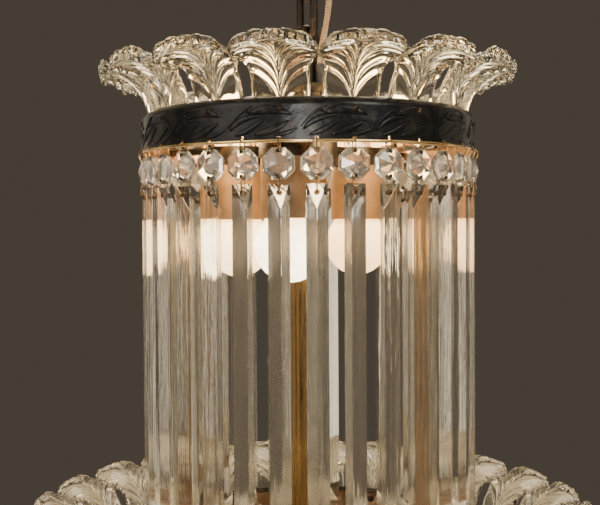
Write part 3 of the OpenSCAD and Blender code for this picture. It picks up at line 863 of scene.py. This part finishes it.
# ---------------------------------------------------------------------------
# Lamps. Porcelain sockets hang upside down inside amber card sleeves, and each
# holds a frosted glass lamp that is lit.
# ---------------------------------------------------------------------------
porcelain, tree, surface = new_finish("porcelain")
place = place_of(tree)
crazed = use_group(tree, patches, {"Vector": place, "Scale": 150.0, "Low": 0.45, "High": 0.75})
tree.links.new(shade_mix(tree, crazed.outputs[0], (0.88, 0.85, 0.78), (0.72, 0.66, 0.55)),
               surface.inputs["Base Color"])
tree.links.new(value_range(tree, crazed.outputs[0], 0.12, 0.3), surface.inputs["Roughness"])
surface.inputs["Coat Weight"].default_value = 0.4
relief = use_group(tree, uneven, {"Vector": place, "Fine Scale": 600.0, "Fine Depth": 0.1})
bumped(tree, surface, relief.outputs[0], 0.2)
paint("lamp_sockets", porcelain)

sleeve_gold, tree, surface = new_finish("sleeve_gold")
place = place_of(tree)
faded = use_group(tree, patches, {"Vector": place, "Scale": 70.0, "Low": 0.35, "High": 0.7})
tree.links.new(shade_mix(tree, faded.outputs[0], (0.36, 0.20, 0.085), (0.20, 0.115, 0.055)),
               surface.inputs["Base Color"])
tree.links.new(value_range(tree, faded.outputs[0], 0.35, 0.6), surface.inputs["Roughness"])
relief = use_group(tree, uneven, {"Vector": place, "Fine Scale": 900.0, "Fine Depth": 0.3})
bumped(tree, surface, relief.outputs[0], 0.2)
paint("socket_sleeves", sleeve_gold)

lamp_glass, tree, surface = new_finish("lamp_glass")
place = place_of(tree)
frost = use_group(tree, patches, {"Vector": place, "Scale": 75.0, "Low": 0.35, "High": 0.65})
glow = add(tree, "ShaderNodeAttribute", attribute_name="glow")
warmth = add(tree, "ShaderNodeMath", {
    0: glow.outputs["Fac"], 1: value_range(tree, frost.outputs[0], 0.62, 1.0)}, operation="MULTIPLY")
tree.links.new(shade_mix(tree, frost.outputs[0], (0.95, 0.93, 0.88), (0.90, 0.86, 0.78)),
               surface.inputs["Base Color"])
tree.links.new(shade_mix(tree, warmth.outputs[0], (0.50, 0.24, 0.06), (1.0, 0.83, 0.56)),
               surface.inputs["Emission Color"])
tree.links.new(value_range(tree, frost.outputs[0], 0.25, 0.45), surface.inputs["Roughness"])
surface.inputs["Emission Strength"].default_value = 7.0

# the lamp's outline from its round end up to its cap: radius and height in mm, from the bulb's middle
LAMP_OUTLINE = [
    (0.0, -24.5), (6.3, -23.7), (12.2, -21.2), (17.3, -17.3), (21.2, -12.2), (23.7, -6.3), (24.4, 0.0),
    (23.6, 6.5), (21.4, 12.0), (18.4, 17.0), (15.6, 21.5), (13.8, 26.0), (12.9, 31.0), (12.6, 38.0),
    (0.0, 38.0),
]
lamp = bmesh.new()
outline = [lamp.verts.new((r * MM, 0, z * MM)) for r, z in LAMP_OUTLINE]
rim = [lamp.edges.new(pair) for pair in zip(outline, outline[1:])]
bmesh.ops.spin(lamp, geom=outline + rim, cent=(0, 0, 0), axis=(0, 0, 1), dvec=(0, 0, 0), angle=2 * math.pi,
               steps=32, use_merge=True)
bmesh.ops.remove_doubles(lamp, verts=lamp.verts, dist=0.01 * MM)
bmesh.ops.recalc_face_normals(lamp, faces=lamp.faces)
glow_layer = lamp.verts.layers.float.new("glow")


def lamp_mesh(level):
    """A lamp that shines at this level, least at its neck."""
    for vert in lamp.verts:
        vert[glow_layer] = level * (1 - smooth_step(2 * MM, 34 * MM, vert.co.z))
    mesh = bpy.data.meshes.new("lamp")
    lamp.to_mesh(mesh)
    return mesh


BULB_DROP = 66.0
UPPER_LAMP_REACH, LOWER_LAMP_REACH = 59, 108
for name, angle, reach, floor, level in (
        ("upper_lamp_1", -12, UPPER_LAMP_REACH, upper_floor, 1.0),
        ("upper_lamp_2", 140, UPPER_LAMP_REACH, upper_floor, 0.16),
        ("upper_lamp_3", 244, UPPER_LAMP_REACH, upper_floor, 0.35),
        ("lower_lamp_1", 18, LOWER_LAMP_REACH, lower_floor, 0.7),
        ("lower_lamp_2", 78, LOWER_LAMP_REACH, lower_floor, 0.6),
        ("lower_lamp_3", 138, LOWER_LAMP_REACH, lower_floor, 0.7),
        ("lower_lamp_4", 198, LOWER_LAMP_REACH, lower_floor, 0.6),
        ("lower_lamp_5", 258, LOWER_LAMP_REACH, lower_floor, 0.7),
        ("lower_lamp_6", 318, LOWER_LAMP_REACH, lower_floor, 0.6)):
    shape = set_round(lamp_mesh(level), around(1, angle, reach * MM, floor - BULB_DROP * MM))
    finished(name, shape, lamp_glass, replaces=["lamp_bulbs"])


# ---------------------------------------------------------------------------
# Stem and bottom. A brass tube hides the pipe between the two hubs, and a
# turned cap and a crystal ball finish the lower end.
# ---------------------------------------------------------------------------
stem_brass, tree, surface = new_finish("stem_brass")
place = place_of(tree)
stretched = add(tree, "ShaderNodeMapping", {"Vector": place, "Scale": (1.0, 1.0, 0.05)})
drawn = use_group(tree, patches, {"Vector": stretched.outputs[0], "Scale": 500.0, "Low": 0.35, "High": 0.7})
tree.links.new(shade_mix(tree, drawn.outputs[0], (0.50, 0.32, 0.13), (0.36, 0.22, 0.09)),
               surface.inputs["Base Color"])
tree.links.new(value_range(tree, drawn.outputs[0], 0.2, 0.42), surface.inputs["Roughness"])
surface.inputs["Metallic"].default_value = 1.0
relief = use_group(tree, uneven, {"Vector": stretched.outputs[0], "Fine Scale": 900.0, "Fine Depth": 0.3})
bumped(tree, surface, relief.outputs[0], 0.1)
for node in ("stem_tube", "bottom_cap"):
    paint(node, stem_brass)
paint("finial", cut_crystal)


# ---------------------------------------------------------------------------
# Floor and light. A pale round floor under the fixture and a dim warm room with
# a wide ceiling light, soft lights from both sides, one by the camera, upright
# strips behind, and the warm light of the lamps thrown up into the plumes.
# ---------------------------------------------------------------------------
floor_finish, tree, surface = new_finish("floor")
place = place_of(tree)
scuff = use_group(tree, patches, {"Vector": place, "Scale": 6.0, "Low": 0.3, "High": 0.7})
tree.links.new(shade_mix(tree, scuff.outputs[0], (0.62, 0.58, 0.52), (0.56, 0.52, 0.46)),
               surface.inputs["Base Color"])
surface.inputs["Roughness"].default_value = 0.7
FLOOR_RADIUS = 0.8
FLOOR_UNDER = 0.03
shape = bmesh.new()
bmesh.ops.create_cone(shape, cap_ends=True, segments=96, radius1=FLOOR_RADIUS, radius2=FLOOR_RADIUS,
                      depth=0.01, matrix=Matrix.Translation((0, 0, cad_box[0][2] - FLOOR_UNDER)))
floor_mesh = bpy.data.meshes.new("floor")
shape.to_mesh(floor_mesh)
shape.free()
floor_mesh.materials.append(floor_finish)
floor = bpy.data.objects.new("floor", floor_mesh)
bpy.context.scene.collection.objects.link(floor)

world = bpy.data.worlds.new("room")
bpy.context.scene.world = world
world.use_nodes = True
world.node_tree.nodes["Background"].inputs[0].default_value = (0.070, 0.056, 0.043, 1)
world.node_tree.nodes["Background"].inputs[1].default_value = 1.0


def soft_light(name, place, aim, wide, tall, power, colour):
    """A rectangular area light that points at aim."""
    data = bpy.data.lights.new(name, "AREA")
    data.shape = "RECTANGLE"
    data.size = wide
    data.size_y = tall
    data.energy = power
    data.color = colour
    light = bpy.data.objects.new(name, data)
    bpy.context.scene.collection.objects.link(light)
    light.location = place
    light.rotation_euler = (Vector(aim) - Vector(place)).to_track_quat("-Z", "Y").to_euler()


middle = (0, 0, upper_floor - 0.08)
soft_light("ceiling", (0, 0, 1.1), (0, 0, 0), 3.4, 3.4, 26, (1.0, 0.82, 0.56))
soft_light("near", (-0.04, -0.80, upper_floor + 0.02), (0, 0, upper_floor), 0.12, 0.12, 2.0, (1.0, 0.95, 0.88))
INSIDE_REACH, INSIDE_UP = 0.070, 0.022
for turn in (64, 192, 308):
    angle = math.radians(turn)
    data = bpy.data.lights.new(f"inside_{turn}", "POINT")
    data.energy = 0.9
    data.shadow_soft_size = 0.018
    data.color = (1.0, 0.68, 0.33)
    light = bpy.data.objects.new(data.name, data)
    bpy.context.scene.collection.objects.link(light)
    light.location = (INSIDE_REACH * math.sin(angle), -INSIDE_REACH * math.cos(angle),
                      upper_floor + INSIDE_UP)
soft_light("front_right", (0.9, -1.1, 0.35), middle, 0.4, 0.4, 7, (1.0, 0.93, 0.80))
soft_light("front_left", (-1.0, -0.9, 0.2), middle, 0.8, 0.8, 6, (1.0, 0.9, 0.78))
soft_light("above", (0.1, 0.5, 0.8), middle, 0.9, 0.9, 10, (1.0, 0.84, 0.62))
STRIP_REACH, STRIP_TALL = 1.7, 1.5
for side, turn, wide, power in (
        (-1, 38, 0.30, 1.6), (1, 44, 0.22, 1.2), (-1, 66, 0.5, 1.6), (1, 72, 0.4, 1.6),
        (-1, 105, 0.35, 1.3), (1, 110, 0.5, 1.4)):
    angle = math.radians(turn)
    soft_light(f"strip_{side}_{turn}",
               (side * STRIP_REACH * math.sin(angle), STRIP_REACH * math.cos(angle), -0.25), middle,
               wide, STRIP_TALL, power, (1.0, 0.86, 0.66))
